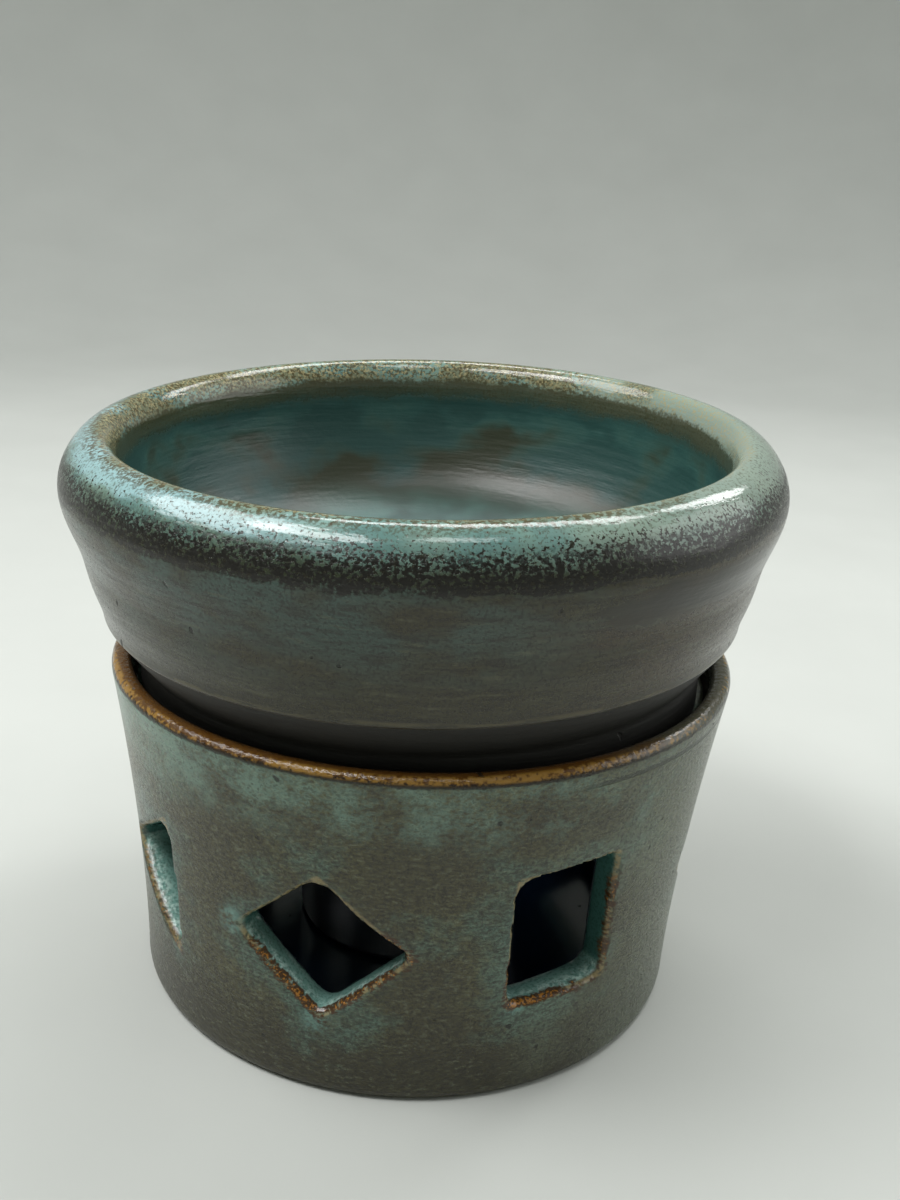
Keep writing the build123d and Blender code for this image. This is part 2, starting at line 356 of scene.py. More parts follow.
# the bowl's glaze: a thick reactive stoneware glaze, dipped and fired. It is satin teal inside and glassy
# where it pooled on the floor, pale aqua and peppered with iron over the shoulder, and a thin grey-brown
# skin where it ran down the wall
bowlRecipe = {
    # how far up the outline from the sharp lower edge, in mm: over the shoulder, the lip and inside
    "attributes": ("along",),
    "patternRoughness": 0.55,
    # size in mm, detail, stretch and shift: iron specks are 0.3 to 0.7 mm, throwing marks lie round the bowl
    "patterns": {
        "cloud": (16.0, 3.0, (1, 1, 1.5), 3.0),
        "drift": (13.0, 4.0, (1, 1, 2.2), 57.0),
        "patch": (7.0, 4.0, (1, 1, 1.8), 11.0),
        "veil": (11.0, 4.0, (1, 1, 3.5), 47.0),
        "streak": (5.0, 6.0, (1, 1, 7.0), 23.0),
        "grain": (0.62, 3.0, (1, 1, 1.2), 5.0),
        "pepper": (0.42, 2.0, (1, 1, 1), 7.0),
        "throwing": (38.0, 3.0, (1, 1, 13.0), 71.0),
        "pit": (2.4, 1.0, (1, 1, 1), 31.0),
        "peel": (1.2, 3.0, (1, 1, 1.6), 2.0),
    },
    # sums of patterns and ways, each with its weight
    "blends": {
        "ragged": (("along", 1.0), ("patch", 3.0), ("grain", 2.2)),
        "bandRagged": (("along", 1.0), ("veil", 5.0), ("grain", 1.6)),
        "crumble": (("grain", 0.55), ("pepper", 0.65), ("veil", 0.25), ("along", -0.035)),
        "brownDrift": (("along", 0.012), ("cloud", 1.0)),
        "haze": (("atX", 0.012), ("drift", 1.0)),
        "sweep": (("along", 1.0), ("veil", 9.0), ("atX", 0.05)),
    },
    # products of soft steps: what is read, where it is 0 and where it is 1
    "zones": {
        "tealWall": (("drift", 0.36, 0.58), ("along", 0.0, 16.0), ("haze", 1.0, 0.55)),
        "brownWall": (("haze", 0.62, 0.95), ("streak", 0.3, 0.6)),
        "streaks": (("streak", 0.5, 0.66), ("along", 23.0, 18.0)),
        "paleStreaks": (("streak", 0.44, 0.3), ("along", 23.0, 18.0)),
        "specks": (("pepper", 0.5, 0.6), ("along", 23.0, 20.0)),
        # paler glaze broken thin on the sharp lower edge, with a painted highlight along that edge
        "edgeBreakAndHighlight": (("along", -0.1, 0.2), ("along", 0.9, 0.4), ("streak", 0.4, 0.6)),
        "lowerEdge": (("along", 2.2, 0.1),),
        "band": (("bandRagged", 23.2, 24.4),),
        "shoulder": (("ragged", 24.2, 30.5),),
        "shoulderTeal": (("ragged", 24.5, 29.0), ("cloud", 0.42, 0.62)),
        "shoulderGrey": (("ragged", 24.0, 29.0), ("haze", 0.45, 1.05)),
        "blueRun": (("sweep", 27.5, 29.5), ("sweep", 34.0, 31.0), ("atX", -4.0, -26.0)),
        "crumbs": (("bandRagged", 23.2, 23.9), ("crumble", -0.13, -0.08)),
        "crumbsDense": (("bandRagged", 23.2, 23.9), ("grain", 0.42, 0.5), ("along", 26.5, 23.8)),
        "peppered": (("ragged", 24.0, 26.5), ("pepper", 0.52, 0.6)),
        "darkRun": (("bandRagged", 15.5, 18.0), ("bandRagged", 23.0, 20.5), ("atX", 16.0, 32.0)),
        "crest": (("ragged", 30.8, 33.8), ("along", 37.0, 34.5), ("haze", 0.98, 0.7), ("veil", 0.38, 0.52)),
        "crestSpecks": (("ragged", 29.8, 32.6), ("grain", 0.46, 0.54), ("along", 36.5, 34.0),
                        ("haze", 0.98, 0.7)),
        "crestPale": (("ragged", 32.6, 34.0), ("pepper", 0.52, 0.6), ("along", 36.0, 33.5)),
        "innerLip": (("ragged", 36.9, 38.1),),
        "inside": (("ragged", 39.4, 42.0),),
        "insideLight": (("ragged", 40.0, 44.0), ("cloud", 0.42, 0.66)),
        "insideBrown": (("brownDrift", 0.98, 1.2), ("ragged", 39.5, 44.0), ("along", 66.0, 52.0)),
        "pooledFloor": (("ragged", 66.0, 72.0),),
        # painted shade: the bowl's underside below the sharp edge, down in the gap inside the stand
        "underneath": (("along", -0.1, -0.7),),
        "pits": (("pit", 0.25, 0.21), ("along", 22.0, 20.0)),
    },
    # from the bottom up: zone, colour, how far it covers, roughness
    "coats": (
        ("ground", "#322f18", 1.0, 0.2),
        ("tealWall", "#3b5049", 0.85, 0.22),
        ("brownWall", "#40301a", 0.65, 0.27),
        ("streaks", "#1e1a10", 0.6, 0.28),
        ("paleStreaks", "#5b5c46", 0.4, 0.18),
        ("specks", "#17130a", 0.6, 0.35),
        ("lowerEdge", "#211f14", 0.6, 0.24),
        # the pale lower edge: glaze broken thin there, and a painted highlight
        ("edgeBreakAndHighlight", "#5f583a", 0.5, 0.2),
        ("band", "#2d3320", 1.0, 0.18),
        ("shoulder", "#7b978a", 1.0, 0.08),
        ("shoulderTeal", "#577c79", 0.8, 0.08),
        ("shoulderGrey", "#8c998c", 0.8, 0.09),
        ("blueRun", "#96b9bc", 0.9, 0.07),
        ("peppered", "#45472f", 0.5, 0.14),
        ("crumbs", "#1b1609", 0.93, 0.27),
        ("crumbsDense", "#0d0a04", 0.97, 0.3),
        ("darkRun", "#14140b", 0.85, 0.16),
        ("crest", "#706e50", 0.8, 0.08),
        ("crestSpecks", "#46391c", 0.8, 0.11),
        ("crestPale", "#aca27a", 0.65, 0.09),
        ("innerLip", "#3a3820", 0.85, 0.14),
        ("inside", "#264743", 1.0, 0.4),
        ("insideLight", "#4a7871", 0.7, 0.36),
        ("insideBrown", "#2f2d18", 0.92, 0.36),
        ("pooledFloor", "#3f6c68", 0.5, 0.13),
        ("pits", "#100e08", 0.9, 0.5),
        # painted shade: the underside is painted near black where it sits in the gap
        ("underneath", "#0f0e08", 1.0, 0.6),
    ),
    # height in mm
    "relief": (("peel", 0.035), ("streak", 0.05), ("throwing", 0.22), ("pits", -0.12), ("crumbs", -0.015)),
    "ior": 1.5,
}

# the stand's glaze: the same stoneware glaze, thinner, so that it broke to rust on the edges, pooled
# teal on the sills and stayed a satin grey-brown on the wall
standRecipe = {
    "attributes": ("rim", "depth", "rustSide", "pool", "upward", "lift", "inward"),
    "patternRoughness": 0.55,
    "patterns": {
        "cloud": (18.0, 3.0, (1, 1, 1.2), 13.0),
        "patch": (6.0, 4.0, (1, 1, 1.3), 1.0),
        "dash": (1.1, 4.0, (1, 1, 2.4), 41.0),
        "grain": (0.8, 3.0, (1, 1, 1.2), 8.0),
        "pepper": (0.42, 2.0, (1, 1, 1), 27.0),
        "pit": (2.2, 1.0, (1, 1, 1), 19.0),
        "peel": (0.9, 3.0, (1, 1, 1.8), 6.0),
    },
    "blends": {
        "ragged": (("lift", 1.0), ("patch", 5.0), ("grain", 2.0)),
        "rimRagged": (("rim", 1.0), ("grain", 1.8), ("patch", 2.2)),
        "goldRagged": (("pepper", 1.0), ("patch", 0.6)),
        "broken": (("dash", 0.6), ("patch", 0.6)),
        "lipBreak": (("grain", 1.0), ("cloud", 0.9)),
        "halo": (("patch", 0.8), ("rim", -0.03), ("cloud", 0.8), ("grain", 0.35)),
        "lipRagged": (("lift", 1.0), ("grain", 0.7), ("patch", 0.8)),
        "mottle": (("patch", 0.8), ("atX", -0.004), ("grain", 0.7)),
        "turnRight": (("atX", 0.02), ("cloud", 1.0)),
    },
    "zones": {
        "lighter": (("cloud", 0.38, 0.66),),
        "dashes": (("dash", 0.47, 0.62),),
        "flecks": (("dash", 0.45, 0.33),),
        "specks": (("pepper", 0.5, 0.6), ("depth", 1.2, 0.4)),
        "low": (("ragged", 22.0, 8.0),),
        "teal": (("halo", 0.72, 1.1),),
        "tealRight": (("turnRight", 0.75, 1.3), ("dash", 0.3, 0.6)),
        "underLip": (("ragged", 44.0, 54.0), ("mottle", 0.6, 1.02)),
        "underLipPits": (("ragged", 45.0, 49.0), ("grain", 0.58, 0.64)),
        "groove": (("lift", 51.1, 51.4), ("lift", 52.1, 51.8), ("turnRight", 0.85, 1.1)),
        "lip": (("lipRagged", 54.4, 54.8),),
        "lipLine": (("lipRagged", 54.2, 54.45), ("lipRagged", 55.1, 54.8)),
        "lipTeal": (("lipRagged", 54.5, 54.9), ("turnRight", 0.95, 1.2)),
        "lipGold": (("lift", 53.8, 54.3), ("inward", 1.5, 0.9), ("lipBreak", 0.86, 1.04)),
        "rimPale": (("rim", -0.9, -0.35), ("rim", 0.8, 0.3), ("grain", 0.36, 0.5)),
        "rust": (("rimRagged", 0.3, 0.9), ("rimRagged", 3.3, 2.8), ("rustSide", 0.3, 0.7),
                 ("broken", 0.5, 0.62)),
        "rustGold": (("rimRagged", 0.9, 1.4), ("rimRagged", 2.9, 2.4), ("rustSide", 0.3, 0.7),
                     ("goldRagged", 0.86, 0.96)),
        "jamb": (("depth", 0.7, 1.3), ("rim", 0.6, 0.2)),
        "sill": (("depth", 0.6, 1.2), ("rim", 0.6, 0.2), ("upward", 0.05, 0.6)),
        # paler pooled glaze on the upward-facing outer part of each sill, with a painted highlight where
        # light glints there
        "sillPaleAndHighlight": (("depth", 0.6, 1.2), ("depth", 3.6, 1.6), ("upward", 0.05, 0.5), ("grain", 0.4, 0.6)),
        "sillSpeck": (("depth", 0.6, 1.2), ("rim", 0.6, 0.2), ("pepper", 0.5, 0.6)),
        "pooled": (("pool", 0.2, 0.8), ("mottle", 0.6, 0.95)),
        # painted shade: everything behind the wall's thickness, inside the stand
        "chamberShade": (("depth", 4.6, 5.3),),
        "mouth": (("lift", 50.2, 50.5), ("depth", 2.2, 3.2)),
        "underneath": (("lift", 0.25, 0.1),),
        "pits": (("pit", 0.25, 0.21),),
        "wallPeel": (("depth", 3.5, 1.0), ("peel", 0.1, 0.9)),
        "wallDash": (("depth", 3.5, 1.0), ("dash", 0.1, 0.9)),
    },
    "coats": (
        ("ground", "#444129", 1.0, 0.22),
        ("lighter", "#565536", 0.75, 0.25),
        ("low", "#2e2a17", 0.75, 0.3),
        ("teal", "#4f6c61", 0.75, 0.2),
        ("tealRight", "#75836f", 0.7, 0.2),
        ("dashes", "#25241a", 0.6, 0.28),
        ("flecks", "#7b8470", 0.28, 0.2),
        ("specks", "#1e1c13", 0.6, 0.34),
        ("underLip", "#7a9b8c", 0.62, 0.18),
        ("underLipPits", "#343829", 0.6, 0.26),
        ("groove", "#1f261a", 0.8, 0.3),
        ("lip", "#5b3a12", 0.95, 0.08),
        ("lipLine", "#170f06", 0.85, 0.25),
        ("lipTeal", "#4a5346", 0.7, 0.15),
        ("lipGold", "#a27c38", 0.75, 0.07),
        ("rimPale", "#9d8a5f", 0.6, 0.25),
        ("jamb", "#3a5f58", 1.0, 0.08),
        ("sill", "#739a90", 0.9, 0.05),
        # the sills' pale tops: pooled glaze, and a painted highlight
        ("sillPaleAndHighlight", "#b9d3ca", 0.75, 0.05),
        ("sillSpeck", "#1d302c", 0.35, 0.08),
        ("pooled", "#70988f", 0.65, 0.08),
        ("rust", "#3f260e", 0.95, 0.14),
        ("rustGold", "#a06c2b", 0.9, 0.12),
        ("pits", "#14120b", 0.8, 0.5),
        # painted shade: the chamber inside the stand is painted near black
        ("chamberShade", "#08182a", 1.0, 0.15),
        ("mouth", "#2c1e0a", 0.9, 0.13),
        ("underneath", "#8a7558", 1.0, 0.75),
    ),
    "relief": (("wallPeel", 0.07), ("wallDash", 0.05), ("pits", -0.1), ("groove", -0.12)),
    "ior": 1.5,
}

bowlGlaze = paintGlaze("stonewareGlazeOverBowl", bowlRecipe)
standGlaze = paintGlaze("stonewareGlazeOverStand", standRecipe)
print("glazes", len(bowlRecipe["coats"]), "coats on the bowl,", len(standRecipe["coats"]), "on the stand")


# the bowl

# in mm and degrees. The wall's points are shares of the radius and of the height between edge, or floor,
# and crest
bowlForm = {
    "seat": 50.0, "height": 41.0, "radius": 55.0,
    "edgeLevel": 14.0, "edgeShare": 0.907, "edgeRounding": 0.7,
    "crestShare": 0.892, "floorLevel": 12.4, "flatShare": 0.36,
    "outside": ((0.936, 0.215), (0.957, 0.408), (0.986, 0.578), (1.0, 0.722), (0.983, 0.856)),
    "inside": ((0.846, 0.907), (0.837, 0.721), (0.803, 0.441), (0.729, 0.230), (0.600, 0.091)),
    "footRadius": 44.7, "footWidth": 3.9, "footRecess": 5.4, "footNeck": 7.2, "footRounding": 0.8,
    "spacing": 0.75, "turns": 400,
    "lean": 2.15, "leanTurn": -48.0, "leanFrom": -12.0, "leanFull": -8.6,
}


def bowlOutline(form):
    seat, radius = form["seat"], form["radius"]
    edge = (form["edgeShare"] * radius, seat + form["edgeLevel"])
    crest = (form["crestShare"] * radius, seat + form["height"])
    rise, depth = form["height"] - form["edgeLevel"], form["height"] - form["floorLevel"]
    floor = seat + form["floorLevel"]
    flat = (form["flatShare"] * radius, floor)
    outer = [(a * radius, edge[1] + b * rise) for a, b in form["outside"]]
    inner = [(a * radius, floor + b * depth) for a, b in form["inside"]]
    foot, recess = form["footRadius"], seat + form["footRecess"]
    footInner = foot - form["footWidth"]
    gap = form["spacing"]
    outline = joined(
        straight((0, floor), flat, gap * 2),
        splineThrough([flat, *inner[::-1], crest], (1, 0), (1, 0), gap),
        splineThrough([crest, *outer[::-1], edge], (1, 0), (-0.1, -1), gap),
        straight(edge, (foot, seat + form["footNeck"]), gap),
        straight((foot, seat + form["footNeck"]), (foot, seat), gap),
        straight((foot, seat), (footInner, seat), gap),
        straight((footInner, seat), (footInner, recess), gap),
        straight((footInner, recess), (0, recess), gap * 3))
    outline = roundCorner(outline, edge, form["edgeRounding"])
    outline = roundCorner(outline, (foot, seat), form["footRounding"])
    return roundCorner(outline, (footInner, seat), form["footRounding"]), edge


def makeBowl(form, material):
    outline, edge = bowlOutline(form)
    bowl = turnedPiece("bowlGlazed", outline, form["turns"], material)
    points = readPoints(bowl.data)
    section = np.stack([np.hypot(points[:, 0], points[:, 1]), points[:, 2]], 1)
    _, _, way = nearestOn(outline, section)
    _, _, edgeWay = nearestOn(outline, np.array([edge]))
    giveAttribute(bowl.data, "along", edgeWay[0] - way)
    # set on its foot a little out of true: the body leans from its underside, the foot stays level
    turn = math.radians(form["leanTurn"])
    leaning = smoothStep(form["leanFrom"], form["leanFull"], edgeWay[0] - way)
    angle = math.radians(form["lean"]) * leaning[:, None]
    pivot = np.array([0, 0, form["seat"] + form["footNeck"]])
    axle = np.array([math.cos(turn), math.sin(turn), 0])
    arm = points - pivot
    along = (arm @ axle)[:, None] * axle
    points = pivot + along + (arm - along) * np.cos(angle) + np.cross(axle, arm) * np.sin(angle)
    writePoints(bowl.data, points)
    return bowl


bowl = makeBowl(bowlForm, bowlGlaze)
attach(bowl, "bowl")
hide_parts("bowl")
print("bowl", len(bowl.data.vertices), "points")


# the stand

# in mm
standForm = {
    "height": 55.0, "footRadius": 44.5, "flare": 5.3, "power": 1.7, "wall": 5.5, "floor": 5.5,
    "footRounding": 1.6, "cove": 3.5, "lip": 3.4, "lipRounding": 1.5,
    "galleryLevel": 50.0, "galleryRadius": 40.2, "galleryUnder": 46.6, "galleryRoot": 44.0,
    "galleryRounding": 0.8, "wallSteps": 90, "innerSteps": 60, "spacing": 0.5, "flatSpacing": 2.0,
    "mergeWithin": 0.002, "grain": 0.73, "smoothing": 5,
    "drawnWithin": 0.16, "leftBeyond": 0.5,  # how far off its outline a point is drawn to it, or left
    "chamberDepth": 5.2, "noRim": -5.0, "mouthLevel": 52.5, "poolDepth": (4.5, 3.0),
    "tilt": (0.014, 0.0), "shift": (0.3, 0.6),
}


def wallRadius(form, level):
    return form["footRadius"] + form["flare"] * (np.maximum(level, 0) / form["height"]) ** form["power"]


def standOutline(form):
    top, floor, foot = form["height"], form["floor"], form["footRadius"]
    lip = foot + form["flare"]
    mouth = lip - form["lip"]
    seat, under, reach = form["galleryLevel"], form["galleryUnder"], form["galleryRadius"]
    gap, wide = form["spacing"], form["flatSpacing"]
    outerLevels = np.linspace(0, top, form["wallSteps"])
    innerLevels = np.linspace(form["galleryRoot"], floor, form["innerSteps"])
    outer = [(float(wallRadius(form, z)), z) for z in outerLevels]
    inner = [(float(wallRadius(form, z)) - form["wall"], z) for z in innerLevels]
    corner = inner[-1]
    outline = joined(
        straight((0, 0), (foot, 0), wide),
        outer,
        straight((lip, top), (mouth, top), gap),
        straight((mouth, top), (mouth, seat), gap),
        straight((mouth, seat), (reach, seat), gap),
        straight((reach, seat), (reach, under), gap),
        straight((reach, under), inner[0], gap),
        inner,
        straight(corner, (0, floor), wide))
    outline = roundCorner(outline, (foot, 0), form["footRounding"])
    outline = roundCorner(outline, (lip, top), form["lipRounding"])
    outline = roundCorner(outline, (mouth, top), form["lipRounding"])
    outline = roundCorner(outline, (reach, seat), form["galleryRounding"])
    return roundCorner(outline, corner, form["cove"])


# sizes in mm, and turns in degrees round the stand from the front
windows = {
    "turns": (-62.0, -15.6, 29.0, 78.5, 123.0, 166.0, 208.5, 253.5),
    "kinds": ("triangle", "diamond", "rectangle"),
    "halfWidth": {"triangle": 9.3, "diamond": 12.9, "rectangle": 8.0},
    "halfHeight": {"triangle": 11.3, "diamond": 11.8, "rectangle": 10.9},
    "level": {"triangle": 25.0, "diamond": 25.4, "rectangle": 27.1},
    "lean": {"triangle": 0.0, "diamond": 0.0, "rectangle": 3.0},
    # how far the glaze broke to rust at its edges
    "rust": {"triangle": 0.5, "diamond": 1.0, "rectangle": 0.9},
    # where the glaze pooled beside it: across, up and size
    "pools": {
        "triangle": (), "diamond": ((-14.1, 0.2, 2.6), (-0.4, -12.8, 2.4)),
        "rectangle": ((-7.0, -10.9, 1.8),),
    },
    # which edges rusted, in degrees round the window, up from its right: all those below, and the right
    "rustBelow": (-5.0, -35.0), "rustBelowEnd": (-178.0, -160.0),
    "rustRightAt": -5.0, "rustRight": (50.0, 20.0), "rustRightShare": 0.9,
}
farAway = 99.0  # mm, further than any point of the stand lies from a window


def windowFields(table, points):
    # how far each point lies outside the nearest window, how rusty that side is, and where glaze pooled
    gap, side, pool = np.full(len(points), farAway), np.zeros(len(points)), np.zeros(len(points))
    for i, degrees in enumerate(table["turns"]):
        kind = table["kinds"][i % len(table["kinds"])]
        turn, lean = math.radians(degrees), math.radians(table["lean"][kind])
        across = points[:, 0] * math.cos(turn) + points[:, 1] * math.sin(turn)
        outward = points[:, 0] * math.sin(turn) - points[:, 1] * math.cos(turn)
        up = points[:, 2] - table["level"][kind]
        across, up = (across * math.cos(lean) + up * math.sin(lean),
                      up * math.cos(lean) - across * math.sin(lean))
        w, h = table["halfWidth"][kind], table["halfHeight"][kind]
        corners = {
            "triangle": ((w, h), (-w, 0), (w, -h)),
            "diamond": ((w, 0), (0, h), (-w, 0), (0, -h)),
            "rectangle": ((w, h), (-w, h), (-w, -h), (w, -h)),
        }[kind]
        distance, inside = np.full(len(points), farAway), np.ones(len(points), bool)
        for (x0, y0), (x1, y1) in zip(corners, corners[1:] + corners[:1]):
            dx, dy = x1 - x0, y1 - y0
            share = np.clip(((across - x0) * dx + (up - y0) * dy) / (dx * dx + dy * dy), 0, 1)
            distance = np.minimum(distance, np.hypot(across - x0 - share * dx, up - y0 - share * dy))
            inside &= dx * (up - y0) - dy * (across - x0) > 0
        distance = np.where(inside, -distance, distance)
        near = (outward > 0) & (distance < gap)
        gap = np.where(near, distance, gap)
        way = np.degrees(np.arctan2(up / h, across / w))
        below = smoothStep(*table["rustBelow"], way) * smoothStep(*table["rustBelowEnd"], way)
        fromRight = np.abs(way - table["rustRightAt"])
        atRight = smoothStep(*table["rustRight"], fromRight) * table["rustRightShare"]
        side = np.where(near, np.maximum(below, atRight) * table["rust"][kind], side)
        for x, y, size in table["pools"][kind]:
            away = np.where(outward > 0, np.hypot(across - x, up - y) / size, farAway)
            pool = np.maximum(pool, np.exp(-away ** 2))
    return gap, side, pool


def makeStand(form, material):
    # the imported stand's own shape in an even mesh, its turned faces then drawn true to the outline
    mesh = nodes["stand"].data.copy()
    shape = bmesh.new()
    shape.from_mesh(mesh)
    bmesh.ops.remove_doubles(shape, verts=shape.verts, dist=form["mergeWithin"] * mm)
    shape.to_mesh(mesh)
    shape.free()
    mesh.materials.clear()
    stand = addObject("standGlazed", mesh)
    remesh = stand.modifiers.new("even", "REMESH")
    remesh.mode, remesh.voxel_size = "VOXEL", form["grain"] * mm
    plainCopy(stand)
    stand.data.materials.append(material)
    points = readPoints(stand.data)
    ends, counts = neighbours(stand.data)
    points = averaged(points, ends, counts, form["smoothing"])
    outline = standOutline(form)
    radius = np.hypot(points[:, 0], points[:, 1])
    distance, nearest, way = nearestOn(outline, np.stack([radius, points[:, 2]], 1))
    weight = 1 - smoothStep(form["drawnWithin"], form["leftBeyond"], distance)
    drawn = radius + weight * (nearest[:, 0] - radius)
    points[:, :2] *= (drawn / np.maximum(radius, 1e-6))[:, None]
    points[:, 2] += weight * (nearest[:, 1] - points[:, 2])
    gap, side, pool = windowFields(windows, points)
    depth = wallRadius(form, points[:, 2]) - np.hypot(points[:, 0], points[:, 1])
    # what the glaze follows, and the painted shade of the chamber and the painted highlight on the sills:
    # how far a point lies outside a window's rim, how far behind the outer wall, counting the mouth as wall
    # or not, how high, how rusty and how near to a pool
    rim = np.where(depth > form["chamberDepth"], form["noRim"], gap - np.maximum(depth, 0))
    giveAttribute(stand.data, "rim", rim)
    giveAttribute(stand.data, "depth", np.where(points[:, 2] > form["mouthLevel"], 0, depth))
    giveAttribute(stand.data, "inward", depth)
    giveAttribute(stand.data, "lift", points[:, 2])
    giveAttribute(stand.data, "rustSide", side)
    giveAttribute(stand.data, "pool", pool * smoothStep(*form["poolDepth"], depth))
    # it stands a little out of true
    share = np.clip(points[:, 2] / form["height"], 0, 1)
    points[:, 2] += share * (form["tilt"][0] * points[:, 0] + form["tilt"][1] * points[:, 1])
    points[:, 0] += share * form["shift"][0]
    points[:, 1] += share * form["shift"][1]
    writePoints(stand.data, points)
    stand.data.shade_smooth()
    # how far each point faces up: the sills follow it, and so does the painted highlight on them
    normals = np.empty(len(points) * 3)
    stand.data.vertex_normals.foreach_get("vector", normals)
    giveAttribute(stand.data, "upward", normals.reshape(-1, 3)[:, 2])
    return stand


stand = makeStand(standForm, standGlaze)
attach(stand, "stand")
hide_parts("stand")
print("stand", len(stand.data.vertices), "points")


# the tealight

tealightSurfaces = {
    # bright aluminium foil: upright drawing marks blur what it mirrors. The real marks are finer than these
    # 0.3 mm, and are drawn coarser so that they show
    "tealight_cup": {
        "material": "drawnAluminiumFoil", "slot": "cup_foil",
        "colours": ("#b4b7ba", "#cbcdcf"), "grain": 0.3, "stretch": (1, 1, 0.05),
        "roughness": (0.3, 0.42), "relief": 0.004, "sockets": {"Metallic": 1.0},
    },
    # paraffin wax, poured: light sinks a little way in, and its skin is cloudy where it cooled unevenly
    "tealight_wax": {
        "material": "pouredParaffin", "slot": "wax",
        "colours": ("#d9d2bf", "#ebe6d8"), "grain": 2.5, "stretch": (1, 1, 1),
        "roughness": (0.28, 0.42), "relief": 0.05,
        "sockets": {"Subsurface Weight": 0.3, "Subsurface Scale": 2 * mm, "IOR": 1.44},
    },
    # tinned steel, stamped from rolled sheet: a dull grey sheen with scratches along the rolling, which are
    # drawn at 0.25 mm so that they show
    "wick_sustainer": {
        "material": "tinnedSteelSheet", "slot": "tinplate",
        "colours": ("#8f9192", "#aeb0b1"), "grain": 0.25, "stretch": (0.08, 1, 1),
        "roughness": (0.3, 0.5), "relief": 0.008, "sockets": {"Metallic": 1.0},
    },
    # braided cotton, stiff with wax. Its fibres are about 0.02 mm thick and are drawn at 0.12 mm
    "wick": {
        "material": "waxedCottonBraid", "slot": "cotton",
        "colours": ("#c6bca3", "#e6dfcc"), "grain": 0.12, "stretch": (1, 1, 0.3),
        "roughness": (0.5, 0.75), "relief": 0.03, "sockets": {"IOR": 1.5},
    },
}
grainDetail = 4.0
grainSpan = (0.3, 0.7)  # the noise seldom leaves this span

# eight strands plaited round the wick's own path, in mm
wickBraid = {
    "foot": 6.1, "bend": 21.0, "tip": (1.1, 24.5), "spacing": 0.14, "bendPlaces": 28,
    "strands": 8, "turns": 4.6, "ringRadius": 0.48, "weave": 0.1, "strandRadius": 0.2, "sides": 7,
}


def paintSurface(recipe):
    # a plain material whose colour, gloss and height follow one grain
    material = bpy.data.materials.new(recipe["material"])
    material.use_nodes = True
    tree = material.node_tree
    tree.nodes.clear()
    place = addNode(tree, "ShaderNodeTexCoord").outputs["Object"]
    mapped = addNode(tree, "ShaderNodeMapping", inputs={
        "Vector": place, "Scale": recipe["stretch"]}).outputs[0]
    grain = addNode(tree, "ShaderNodeTexNoise", inputs={
        "Vector": mapped, "Scale": 1 / (recipe["grain"] * mm), "Detail": grainDetail}).outputs["Fac"]
    dark, light = recipe["colours"]
    colour = addNode(tree, "ShaderNodeMix", {"data_type": "RGBA"}, {
        0: grain, 6: linear(dark), 7: linear(light)}).outputs[2]
    smooth, rough = recipe["roughness"]
    gloss = addNode(tree, "ShaderNodeMapRange", inputs={
        "Value": grain, "From Min": grainSpan[0], "From Max": grainSpan[1],
        "To Min": smooth, "To Max": rough}).outputs[0]
    height = addNode(tree, "ShaderNodeMath", {"operation": "MULTIPLY"}, {
        0: grain, 1: recipe["relief"]}).outputs[0]
    bump = addNode(tree, "ShaderNodeBump", inputs={
        "Height": height, "Distance": mm, "Strength": 1.0}).outputs[0]
    shader = addNode(tree, "ShaderNodeBsdfPrincipled", inputs={
        "Base Color": colour, "Roughness": gloss, "Normal": bump, **recipe["sockets"]}).outputs[0]
    addNode(tree, "ShaderNodeOutputMaterial", inputs={"Surface": shader})
    return material


